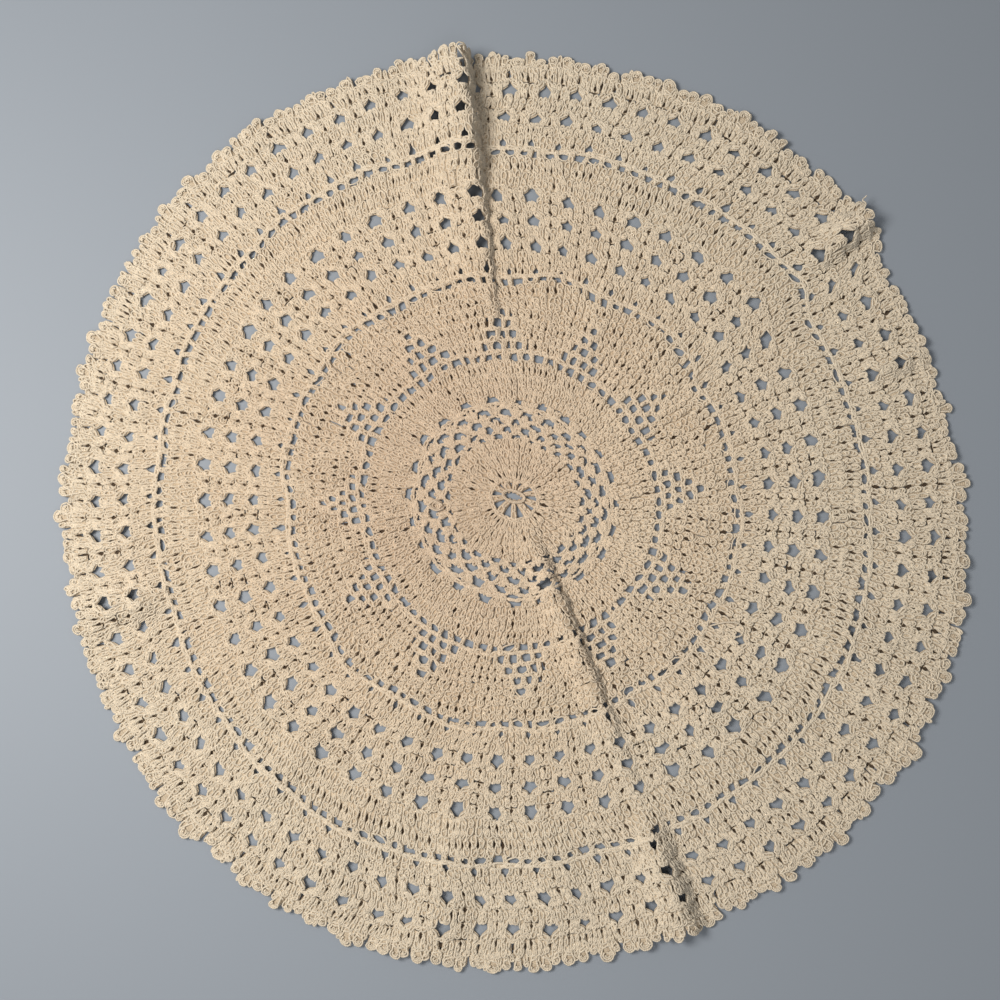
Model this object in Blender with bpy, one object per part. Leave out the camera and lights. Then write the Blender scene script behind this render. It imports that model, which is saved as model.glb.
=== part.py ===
"""Round crocheted cotton doily, lying face up on a flat surface.

One thin openwork sheet. X is to the right, Y away from the viewer, +Z up, metres.
The underside lies on Z = 0 except where folds lift the cloth.
The sheet is drawn flat around its centre rosette (design radius rho, design angle phi), with its
scalloped rim and its rows of large gaps, then carried onto the uneven, folded cloth by place().
"""
import math

import bmesh
import bpy
import numpy as np
from mathutils import Vector
from mathutils.geometry import delaunay_2d_cdt

MM = 0.001

# ---- driving sizes -------------------------------------------------------------------------
RIM_RADIUS = 187.6 * MM        # mean design radius of the scalloped rim
SCALLOPS = 77                  # one rim scallop over each outer shell
SCALLOP_POINTS = 6             # rim points in one scallop
SCALLOP_DEPTH = 2.4 * MM       # height of a scallop over the valley beside it
SCALLOP_PHASE = 5.24           # degrees, where the first scallop is highest
THICKNESS = 2.0 * MM           # of the crochet, measured square to the cloth
MAX_SLOPE_GAIN = 2.6           # upright thickness on steep fold sides, times THICKNESS
COLOUR = (0.66, 0.54, 0.36, 1.0)
ROUGHNESS = 0.9

# Rows of large gaps. Each gap is a polygon of `corners` corners, half_r along the radius and
# half_t across it. The widest gaps of one row are round, with eight corners.
GAP_ROWS = (
    # name      radius       count  phase   half_r     half_t     corners
    ("inner_2", 118.35 * MM, 54, 1.76, 2.35 * MM, 2.20 * MM, 4),
    ("inner_3", 128.36 * MM, 54, 1.76, 2.35 * MM, 2.60 * MM, 4),
    ("outer_1", 162.00 * MM, 77, 2.90, 2.45 * MM, 2.20 * MM, 4),
    ("outer_2", 173.80 * MM, 77, 2.90, 2.35 * MM, 2.10 * MM, 4),
)
WIDE_ROW = "inner_3"
WIDE_GAPS = (0, 5, 8, 12, 19, 23, 27, 32, 36, 41, 47, 50)   # the widest gaps of that row
WIDE_RADIUS = 3.25 * MM

# Radius of each ring of the cloth as it lies, as mean + sum(c_k cos k.a + s_k sin k.a), and a short
# step at KINK_ANGLE. Millimetres. These rings carry everything between them.
RING_SHAPE = (
    # rho    c1     s1     c2     s2     c3     s3     c4     s4     c5     s5     step
    (0.0,    0.00,  0.00,  0.00,  0.00,  0.00,  0.00,  0.00,  0.00,  0.00,  0.00,  0.0),
    (27.3,  -0.40, -1.25,  0.60, -0.90,  0.30,  0.20,  0.00,  0.00,  0.00,  0.00,  0.0),
    (41.4,  -1.75, -1.55,  0.50, -1.05,  0.70,  0.00,  0.00,  0.00,  0.00,  0.00,  0.0),
    (60.5,  -2.30, -1.35,  0.00, -1.05,  0.60,  0.00,  0.10, -0.50,  0.00,  0.00,  0.5),
    (92.5,  -1.60, -0.10, -0.10, -1.00,  0.50,  0.25, -0.60, -0.60,  0.20,  0.10,  2.7),
    (108.0, -1.55, -0.20,  0.00, -1.35,  0.65,  0.05, -0.70, -0.40,  0.00,  0.25,  4.3),
    (128.4, -1.50,  0.15, -0.10, -1.25,  1.00, -0.10, -0.75, -0.25, -0.25,  0.15,  4.5),
    (146.5, -1.20,  0.65, -0.55, -1.25,  0.90, -0.15, -1.15, -0.60, -0.40, -0.25,  3.7),
    (162.0, -1.10,  0.85, -0.80, -1.60,  1.00, -0.30, -1.10, -0.60, -0.50, -0.30,  4.2),
    (173.8, -0.95,  1.00, -0.90, -1.65,  1.10, -0.35, -0.95, -0.55, -0.80, -0.55,  4.4),
    (189.0, -0.85,  1.25, -1.35, -1.75,  0.70, -0.60, -1.05, -0.80, -0.65, -0.70,  3.4),
)
KINK_ANGLE = 33.8              # degrees
KINK_SHARP = 2.4               # degrees over which the step rises
KINK_REACH = 16.0              # degrees over which it dies out

# How the stitches of a ring crowd and spread around it: angle = phi + c1 cos + s1 sin + c2 ... , degrees
RING_CROWD = (
    # rho   c1    s1    c2     s2
    (0.0,   0.0,  0.0,  0.0,   0.0),
    (60.0,  0.8,  1.6,  0.0,   0.4),
    (128.4, 0.92, 2.95, -0.13, 0.6),
    (168.0, -0.4, 1.2, -0.35,  0.7),
    (189.0, -0.4, 1.2, -0.35,  0.7),
)

# Folds that run along a radius. left_width is on the side of growing angle, right_width on the other.
FOLDS = (
    # name,          angle, left_width, right_width, ((rho, height), ...)  millimetres
    ("top_ridge",     98.2, 22.0,  9.0, ((58, 0), (75, 1.2), (97, 3.2), (118, 5.0), (130, 7.0), (147, 11.5), (163, 13.5), (175, 12.8), (192, 13.0))),
    ("low_ridge",    292.2,  4.2,  9.0, ((12, 0), (24, 2.2), (38, 3.8), (58, 4.2), (76, 4.6), (92, 3.2), (108, 1.4), (122, 1.0), (135, 0))),
    ("low_pucker",   291.5,  9.0, 11.0, ((136, 0), (148, 4.2), (160, 5.8), (174, 5.5), (192, 4.0))),
    ("side_pucker",   38.6, 10.0,  7.5, ((148, 0), (162, 3.0), (176, 6.5), (192, 7.0))),
    ("right_pucker",  19.6,  9.0,  8.0, ((154, 0), (166, 2.6), (178, 2.4), (190, 1.0))),
    ("left_pucker",  195.5, 12.0, 11.0, ((146, 0), (160, 3.0), (172, 3.2), (190, 1.5))),
)
FOLD_ACROSS = (-1.0, -0.72, -0.45, -0.2, 0.0, 0.2, 0.45, 0.72, 1.0)   # mesh lines across a fold
FOLD_STEP = 9.0 * MM           # mesh step along a fold


# ---- the cloth as it lies ------------------------------------------------------------------
def fold_height(rho, angle):
    """Height of the cloth's underside, metres; rho in metres and angle in radians, numpy arrays."""
    z = np.zeros(np.broadcast(rho, angle).shape)
    for name, centre, left, right, rise in FOLDS:
        top = np.interp(rho, [r * MM for r, h in rise], [h * MM for r, h in rise])
        turn = (angle - math.radians(centre) + math.pi) % (2 * math.pi) - math.pi
        across = turn * rho
        width = np.where(across > 0, left * MM, right * MM)
        z = z + np.where(np.abs(across) < width, top * 0.5 * (1 + np.cos(math.pi * across / width)), 0.0)
    return z


def ring_value(table, rho, angle, first):
    """Sum of the cosine and sine columns of a ring table, between its rings; rho in metres."""
    rings = np.array([row[0] for row in table]) * MM
    total = np.zeros(np.broadcast(rho, angle).shape)
    for k in range(first):
        c = np.interp(rho, rings, [row[1 + 2 * k] for row in table])
        s = np.interp(rho, rings, [row[2 + 2 * k] for row in table])
        total = total + c * np.cos((k + 1) * angle) + s * np.sin((k + 1) * angle)
    return total


TURN_STEPS = 1440


def unfold_table(rho):
    """For one ring: design angles and the angles where they lie, so that folds take up cloth."""
    a = np.linspace(0, 2 * math.pi, TURN_STEPS + 1)
    z = fold_height(rho, a)
    run = np.hypot(rho * np.diff(a), np.diff(z))
    length = np.concatenate([[0], np.cumsum(run)])
    even = length / length[-1] * 2 * math.pi
    start = np.interp(math.radians(200), a, even) - math.radians(200)
    return even - start, a


def place(rho, phi):
    """Design polar coordinates (metres, radians) to x, y and the underside's z."""
    phi = phi % (2 * math.pi)
    a = phi + np.radians(ring_value(RING_CROWD, rho, phi, 2))
    if rho > 0.01:
        even, lies = unfold_table(rho)
        a = float(np.interp(a, np.concatenate([even - 2 * math.pi, even[1:], even[1:] + 2 * math.pi]),
                            np.concatenate([lies - 2 * math.pi, lies[1:], lies[1:] + 2 * math.pi])))
    z = float(fold_height(rho, a % (2 * math.pi)))
    r = rho + float(ring_value(RING_SHAPE, rho, a, 5)) * MM
    off = (math.degrees(a) - KINK_ANGLE + 180) % 360 - 180
    step = np.interp(rho, [row[0] * MM for row in RING_SHAPE], [row[11] for row in RING_SHAPE])
    r += float(step) * MM * math.tanh(off / KINK_SHARP) * math.exp(-abs(off) / KINK_REACH)
    return r * math.cos(a), r * math.sin(a), z


# ---- the flat drawing ----------------------------------------------------------------------
def rim():
    """Scalloped rim, one polygon of design polar points."""
    n = SCALLOPS * SCALLOP_POINTS
    pts = []
    for i in range(n):
        phi = 2 * math.pi * i / n + math.radians(SCALLOP_PHASE)
        lobe = abs(math.cos(math.pi * i / SCALLOP_POINTS))
        pts.append((RIM_RADIUS + SCALLOP_DEPTH * (lobe - 0.6), phi))
    return pts


def gaps():
    """All large gaps, each a polygon of design polar points."""
    out = []
    for name, radius, count, phase, half_r, half_t, corners in GAP_ROWS:
        for i in range(count):
            phi = 2 * math.pi * i / count + math.radians(phase)
            if name == WIDE_ROW and i in WIDE_GAPS:
                shape = [(WIDE_RADIUS * math.cos(math.pi / 4 * k - phi), WIDE_RADIUS * math.sin(math.pi / 4 * k - phi)) for k in range(8)]
            else:
                shape = [(half_r * math.cos(2 * math.pi * k / corners), half_t * math.sin(2 * math.pi * k / corners)) for k in range(corners)]
            out.append([(radius + dr, phi + dt / radius) for dr, dt in shape])
    return out


def fold_points(walls):
    """Mesh points along and across each fold, kept clear of the rim and the gaps."""
    pts = []
    for name, centre, left, right, rise in FOLDS:
        lo, hi = rise[0][0] * MM, min(rise[-1][0] * MM, RIM_RADIUS - 4 * MM)
        steps = max(2, round((hi - lo) / FOLD_STEP))
        for j in range(steps + 1):
            rho = lo + (hi - lo) * j / steps
            even, lies = unfold_table(rho)
            for f in FOLD_ACROSS:
                across = f * (left if f > 0 else right) * MM
                a = math.radians(centre) + across / rho
                phi = float(np.interp(a, lies, even))
                for _ in range(6):
                    phi = float(np.interp(a, lies, even)) - math.radians(float(ring_value(RING_CROWD, rho, phi, 2)))
                x, y = rho * math.cos(phi), rho * math.sin(phi)
                near = np.min(np.hypot(walls[:, 0] - x, walls[:, 1] - y))
                if near > 1.5 * MM and all(math.hypot(x - px, y - py) > 1.2 * MM for px, py in pts):
                    pts.append((x, y))
    return pts


def inside(x, y, poly):
    hit = False
    for (x1, y1), (x2, y2) in zip(poly, poly[1:] + poly[:1]):
        if (y1 > y) != (y2 > y) and x < (x2 - x1) * (y - y1) / (y2 - y1) + x1:
            hit = not hit
    return hit


def build():
    outline = [(r * math.cos(p), r * math.sin(p)) for r, p in rim()]
    holes = [[(r * math.cos(p), r * math.sin(p)) for r, p in g] for g in gaps()]
    loops = [outline] + holes
    walls = np.array([p for loop in loops for p in loop])
    extra = [p for p in fold_points(walls) if not any(
        math.hypot(p[0] - h[0][0], p[1] - h[0][1]) < 9 * MM and inside(p[0], p[1], h) for h in holes)]
    flat = [Vector(p) for p in walls.tolist()] + [Vector(p) for p in extra]
    edges, start = [], 0
    for loop in loops:
        n = len(loop)
        edges += [(start + i, start + (i + 1) % n) for i in range(n)]
        start += n
    verts, _, faces, _, _, _ = delaunay_2d_cdt(flat, edges, [], 1, 1e-7)
    keep = []
    for f in faces:
        cx = sum(verts[i].x for i in f) / 3
        cy = sum(verts[i].y for i in f) / 3
        if any(math.hypot(cx - h[0][0], cy - h[0][1]) < 9 * MM and inside(cx, cy, h) for h in holes):
            continue
        a, b, c = (verts[i] for i in f)
        keep.append(tuple(f) if (b - a).cross(c - a) > 0 else tuple(reversed(f)))

    # carry the drawing onto the cloth as it lies
    low, high = [], []
    d = 0.6 * MM
    for v in verts:
        rho, phi = math.hypot(v.x, v.y), math.atan2(v.y, v.x)
        x, y, z = place(rho, phi)
        x1, y1, z1 = place(rho, phi + d / max(rho, 0.01))
        x2, y2, z2 = place(rho + d, phi)
        slope = math.hypot((z1 - z) / max(math.hypot(x1 - x, y1 - y), 1e-9), (z2 - z) / max(math.hypot(x2 - x, y2 - y), 1e-9))
        up = THICKNESS * min(math.sqrt(1 + slope * slope), MAX_SLOPE_GAIN)
        low.append((x, y, z))
        high.append((x, y, z + up))
    xs, ys = [p[0] for p in low], [p[1] for p in low]
    mid = ((min(xs) + max(xs)) / 2, (min(ys) + max(ys)) / 2)

    bm = bmesh.new()
    bottom = [bm.verts.new((x - mid[0], y - mid[1], z)) for x, y, z in low]
    top = [bm.verts.new((x - mid[0], y - mid[1], z)) for x, y, z in high]
    for a, b, c in keep:
        bm.faces.new((top[a], top[b], top[c]))
        bm.faces.new((bottom[c], bottom[b], bottom[a]))
    used = {}
    for tri in keep:
        for i in range(3):
            used[(tri[i], tri[(i + 1) % 3])] = True
    for a, b in used:
        if (b, a) not in used:
            bm.faces.new((top[b], top[a], bottom[a]))
            bm.faces.new((top[b], bottom[a], bottom[b]))
    loose = [v for v in bm.verts if not v.link_faces]
    bmesh.ops.delete(bm, geom=loose, context="VERTS")
    bm.normal_update()
    mesh = bpy.data.meshes.new("doily")
    bm.to_mesh(mesh)
    bm.free()
    return mesh, mid


for old in list(bpy.data.objects):
    bpy.data.objects.remove(old, do_unlink=True)

cotton = bpy.data.materials.new("cotton_thread")
cotton.use_nodes = True
shader = cotton.node_tree.nodes["Principled BSDF"]
shader.inputs["Base Color"].default_value = COLOUR
shader.inputs["Roughness"].default_value = ROUGHNESS
shader.inputs["Metallic"].default_value = 0.0

mesh, rosette_offset = build()
mesh.materials.append(cotton)
doily = bpy.data.objects.new("doily", mesh)
bpy.context.scene.collection.objects.link(doily)
print("triangles", len(mesh.polygons), "rosette at", -rosette_offset[0], -rosette_offset[1])
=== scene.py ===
"""Looks of the lace doily: crochet built stitch by stitch from yarn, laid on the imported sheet."""
import math

import bpy
import numpy as np
from mathutils import Matrix, Vector


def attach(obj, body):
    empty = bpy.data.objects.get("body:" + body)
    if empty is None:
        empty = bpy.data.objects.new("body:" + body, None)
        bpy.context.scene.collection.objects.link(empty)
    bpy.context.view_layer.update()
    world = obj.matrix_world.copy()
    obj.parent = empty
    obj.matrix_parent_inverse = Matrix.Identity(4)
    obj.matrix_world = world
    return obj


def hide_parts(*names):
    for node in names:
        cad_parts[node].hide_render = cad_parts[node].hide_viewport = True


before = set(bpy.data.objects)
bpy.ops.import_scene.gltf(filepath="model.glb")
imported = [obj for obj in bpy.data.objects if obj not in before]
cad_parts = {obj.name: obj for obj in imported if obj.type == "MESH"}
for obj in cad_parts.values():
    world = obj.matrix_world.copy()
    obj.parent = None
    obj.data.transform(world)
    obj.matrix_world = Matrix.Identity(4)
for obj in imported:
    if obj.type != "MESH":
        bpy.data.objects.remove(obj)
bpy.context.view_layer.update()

rng = np.random.default_rng(20)
TAU = 2 * math.pi

# ---- where the cloth lies (millimetres; the same rings and folds as the CAD sheet) -------------
ROSETTE = (0.784, -1.207)      # centre rosette in the row frame
RING_SHAPE = np.array((
    (0.0,    0.00,  0.00,  0.00,  0.00,  0.00,  0.00,  0.00,  0.00,  0.00,  0.00,  0.0),
    (27.3,  -0.40, -1.25,  0.60, -0.90,  0.30,  0.20,  0.00,  0.00,  0.00,  0.00,  0.0),
    (41.4,  -1.75, -1.55,  0.50, -1.05,  0.70,  0.00,  0.00,  0.00,  0.00,  0.00,  0.0),
    (60.5,  -2.30, -1.35,  0.00, -1.05,  0.60,  0.00,  0.10, -0.50,  0.00,  0.00,  0.5),
    (92.5,  -1.60, -0.10, -0.10, -1.00,  0.50,  0.25, -0.60, -0.60,  0.20,  0.10,  2.7),
    (108.0, -1.55, -0.20,  0.00, -1.35,  0.65,  0.05, -0.70, -0.40,  0.00,  0.25,  4.3),
    (128.4, -1.50,  0.15, -0.10, -1.25,  1.00, -0.10, -0.75, -0.25, -0.25,  0.15,  4.5),
    (146.5, -1.20,  0.65, -0.55, -1.25,  0.90, -0.15, -1.15, -0.60, -0.40, -0.25,  3.7),
    (162.0, -1.10,  0.85, -0.80, -1.60,  1.00, -0.30, -1.10, -0.60, -0.50, -0.30,  4.2),
    (173.8, -0.95,  1.00, -0.90, -1.65,  1.10, -0.35, -0.95, -0.55, -0.80, -0.55,  4.4),
    (189.0, -0.85,  1.25, -1.35, -1.75,  0.70, -0.60, -1.05, -0.80, -0.65, -0.70,  3.4),
))
KINK_ANGLE, KINK_SHARP, KINK_REACH = 33.8, 2.4, 16.0
RING_CROWD = np.array((
    (0.0,   0.0,  0.0,  0.0,   0.0),
    (60.0,  0.8,  1.6,  0.0,   0.4),
    (128.4, 0.92, 2.95, -0.13, 0.6),
    (168.0, -0.4, 1.2, -0.35,  0.7),
    (189.0, -0.4, 1.2, -0.35,  0.7),
))
FOLDS = (
    (96.9, 24.5, 3.6, ((58, 0), (75, 1.2), (97, 3.2), (118, 5.0), (130, 6.6), (147, 10.4), (163, 11.9), (175, 11.4), (192, 11.4))),
    (292.2, 4.2, 9.0, ((12, 0), (24, 2.2), (38, 3.8), (58, 4.2), (76, 4.6), (92, 3.2), (108, 1.4), (122, 1.0), (135, 0))),
    (291.5, 9.0, 11.0, ((136, 0), (148, 4.2), (160, 5.8), (174, 5.5), (192, 4.0))),
    (38.6, 10.0, 7.5, ((148, 0), (162, 3.0), (176, 6.5), (192, 7.0))),
    (19.6, 9.0, 8.0, ((154, 0), (166, 2.6), (178, 2.4), (190, 1.0))),
    (195.5, 12.0, 11.0, ((146, 0), (160, 3.0), (172, 3.2), (190, 1.5))),
)


def fold_height(rho, angle):
    z = np.zeros(np.broadcast(rho, angle).shape)
    for centre, left, right, rise in FOLDS:
        top = np.interp(rho, [r for r, h in rise], [h for r, h in rise])
        across = ((angle - math.radians(centre) + math.pi) % TAU - math.pi) * rho
        across = across + 0.45 * np.sin(rho * 0.83 + centre) + 0.4 * np.sin(rho * 0.37 + 2 * centre) + 0.22 * np.sin(rho * 2.1)
        width = np.where(across > 0, left, right)
        z = z + np.where(np.abs(across) < width, top * 0.5 * (1 + np.cos(math.pi * across / width)), 0.0)
    return z


def ring_value(table, rho, angle, harmonics):
    total = 0.0
    for k in range(harmonics):
        total = total + np.interp(rho, table[:, 0], table[:, 1 + 2 * k]) * np.cos((k + 1) * angle)
        total = total + np.interp(rho, table[:, 0], table[:, 2 + 2 * k]) * np.sin((k + 1) * angle)
    return total


# Soft rise and fall of cloth that was washed and never pressed.
WAVES = [(a, m, k, p) for a, m, k, p in zip(rng.uniform(0.10, 0.22, 16), rng.integers(4, 26, 16), rng.uniform(-0.10, 0.10, 16), rng.uniform(0, TAU, 16))]
NPHI, RMAX = 1440, 198


def laid_table():
    """x, y, z and the normal of the cloth's underside for each whole millimetre of radius and quarter degree."""
    phi = np.linspace(0, TAU, NPHI + 1)
    xyz = np.zeros((RMAX, NPHI + 1, 3))
    for i in range(RMAX):
        rho = float(i)
        a = phi + np.radians(ring_value(RING_CROWD, rho, phi, 2))
        if rho > 10:
            turn = np.linspace(0, TAU, NPHI + 1)
            run = np.hypot(rho * np.diff(turn), np.diff(fold_height(rho, turn)))
            even = np.concatenate([[0], np.cumsum(run)])
            even = even / even[-1] * TAU
            even = even - (np.interp(math.radians(200), turn, even) - math.radians(200))
            a = np.interp(a, np.concatenate([even - TAU, even[1:], even[1:] + TAU]),
                          np.concatenate([turn - TAU, turn[1:], turn[1:] + TAU]))
        z = fold_height(rho, a % TAU)
        wave = sum(h * np.cos(m * phi + k * rho + p) for h, m, k, p in WAVES)
        z = z + np.maximum(wave, 0) * np.interp(rho, (30, 90, 190), (0.0, 0.8, 1.5))
        r = rho + ring_value(RING_SHAPE, rho, a, 5)
        off = (np.degrees(a) - KINK_ANGLE + 180) % 360 - 180
        r = r + np.interp(rho, RING_SHAPE[:, 0], RING_SHAPE[:, 11]) * np.tanh(off / KINK_SHARP) * np.exp(-np.abs(off) / KINK_REACH)
        xyz[i, :, 0], xyz[i, :, 1], xyz[i, :, 2] = r * np.cos(a), r * np.sin(a), z
    dr = np.gradient(xyz, axis=0)
    dp = np.empty_like(xyz)
    dp[:, 1:-1] = xyz[:, 2:] - xyz[:, :-2]
    dp[:, 0] = dp[:, -1] = xyz[:, 1] - xyz[:, -2]
    n = np.cross(dr, dp)
    n[0] = (0, 0, 1)
    n /= np.linalg.norm(n, axis=-1, keepdims=True)
    xyz[..., 0] += ROSETTE[0]
    xyz[..., 1] += ROSETTE[1]
    return np.concatenate([xyz, n], axis=-1)


LAID = laid_table()
# No two repeats of handmade lace are the same: a slow drift of every stitch in the plane.
DRIFT = [(a, q * math.cos(t), q * math.sin(t), p1, p2) for a, q, t, p1, p2 in zip(
    rng.uniform(0.08, 0.18, 22), TAU / rng.uniform(11, 42, 22), rng.uniform(0, TAU, 22), rng.uniform(0, TAU, 22), rng.uniform(0, TAU, 22))]


def lay(rho, phi, w):
    """Design polar place (mm, radians) and height over the cloth's underside to world places and the cloth's normal, metres."""
    x, y = rho * np.cos(phi), rho * np.sin(phi)
    d1 = sum(a * np.cos(kx * x + ky * y + p) for a, kx, ky, p, _ in DRIFT)
    d2 = sum(a * np.cos(kx * x + ky * y + p) for a, kx, ky, _, p in DRIFT)
    fade = np.clip(rho / 30, 0.2, 1)
    rho, phi = rho + d1 * fade, phi + d2 * fade / np.maximum(rho, 4)
    rho = np.clip(rho, 0, RMAX - 1.001)
    i = rho.astype(int)
    f = (rho - i)[..., None]
    j = (phi % TAU) / TAU * NPHI
    g = (j - j.astype(int))[..., None]
    j = np.minimum(j.astype(int), NPHI - 1)
    v = (LAID[i, j] * (1 - g) + LAID[i, j + 1] * g) * (1 - f) + (LAID[i + 1, j] * (1 - g) + LAID[i + 1, j + 1] * g) * f
    n = v[..., 3:]
    n = n / np.linalg.norm(n, axis=-1, keepdims=True)
    return v[..., :3] * 0.001 + n * (np.asarray(w) * 0.001)[..., None], n


# ---- yarn ------------------------------------------------------------------------------------
SECTORS = 5
BACK = SECTORS                 # index of the piece that holds the stitches' own bodies
PIT_SHADOW_PIECE = SECTORS + 1            # dark patches low in the pits: painted shadow
heaps = [[] for _ in range(SECTORS + 2)]
YARN = 0.35                    # half the width of a strand, mm


def sweep(rho, phi, w, left, right, style, foot_l=0.0, foot_r=0.0):
    """Runs yarn along many centrelines at once; every array is (strand, point).
    style "ridge" is the upper half of a strand that lies in the fabric, "round" a whole one that stands free,
    "body" the soft mass of a stitch, with its edges down at foot_l and foot_r."""
    rho, phi, w, left, right, foot_l, foot_r = (np.array(np.broadcast_to(v, np.broadcast(rho, phi, w).shape), float)
                                                for v in (rho, phi, w, left, right, foot_l, foot_r))
    p, n = lay(rho, phi, w)
    t = np.gradient(p, axis=1)
    t /= np.maximum(np.linalg.norm(t, axis=-1, keepdims=True), 1e-12)
    side = np.cross(t, n)
    long = np.linalg.norm(side, axis=-1, keepdims=True)
    side = side / np.maximum(long, 1e-9)
    for k in range(1, p.shape[1]):      # where a strand dives, it keeps the side it had
        weak = long[:, k, 0] < 0.25
        side[weak, k] = side[weak, k - 1]
    up = np.cross(side, t)
    hl, hr = left[..., None] * 0.001, right[..., None] * 0.001
    if style == "body":
        rows = [p - side * hl - n * (w - foot_l)[..., None] * 0.001, p, p + side * hr - n * (w - foot_r)[..., None] * 0.001]
    # "under": a flat dark patch just above the cloth's underside, painted shadow in a pit
    elif style == "under":
        rows = [p - side * hl - n * 0.0001, p, p + side * hr - n * 0.0001]
    elif style == "ridge":
        rows = [p - side * hl - up * hl * 0.7, p + up * (hl + hr) * 0.5, p + side * hr - up * hr * 0.7]
    else:
        rows = [p - side * hl, p + up * (hl + hr) * 0.5, p + side * hr, p - up * (hl + hr) * 0.5]
    m, (count, points) = len(rows), rho.shape
    verts = np.stack(rows, axis=2)                                      # strand, point, around, xyz
    grid = np.arange(count * points * m).reshape(count, points, m)
    ring = m if style == "round" else m - 1
    run = np.concatenate([np.zeros((count, 1)), np.cumsum(np.linalg.norm(np.diff(p, axis=1), axis=-1), axis=1)], axis=1) * 1000
    run = run + rng.uniform(0, 9, (count, 1))
    faces, us, vs = [], [], []
    for k in range(ring):
        k2 = (k + 1) % m
        faces.append(np.stack([grid[:, :-1, k], grid[:, :-1, k2], grid[:, 1:, k2], grid[:, 1:, k]], axis=-1))
        us.append(np.stack([run[:, :-1], run[:, :-1], run[:, 1:], run[:, 1:]], axis=-1))
        across = (k / ring, (k + 1) / ring, (k + 1) / ring, k / ring)
        vs.append(np.broadcast_to(np.array(across), us[-1].shape))
    faces, us, vs = (np.stack(v, axis=2) for v in (faces, us, vs))      # strand, point-1, face, 4
    if style == "body":
        home = np.full(count, BACK)
    elif style == "under":
        home = np.full(count, PIT_SHADOW_PIECE)
    else:
        home = (np.mean(phi, axis=1) % TAU / TAU * SECTORS).astype(int) % SECTORS
    for s in np.unique(home):
        pick = home == s
        back = np.full(count * points * m, -1)
        kept = grid[pick].ravel()
        back[kept] = np.arange(len(kept))
        heaps[s].append((verts[pick].reshape(-1, 3), back[faces[pick].reshape(-1, 4)],
                         np.stack([us[pick].reshape(-1), vs[pick].reshape(-1)], axis=-1)))


def local(rb, pb, rt, pt, u, v):
    """Points u along and v (mm) across the line from a stitch's base to its top."""
    rb, pb, rt, pt = (np.asarray(q, float).reshape(-1, 1) for q in (rb, pb, rt, pt))
    ds, dr = (rb + rt) / 2 * (pt - pb), rt - rb
    long = np.maximum(np.hypot(ds, dr), 1e-6)
    rho = rb + u * dr - v * ds / long
    return rho, pb + u * (pt - pb) + v * dr / long / np.maximum(rho, 2)


def columns(*values):
    return (np.array(v, float).ravel()[:, None] for v in np.broadcast_arrays(*(np.asarray(v, float) for v in values)))


stitches = 0


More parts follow.
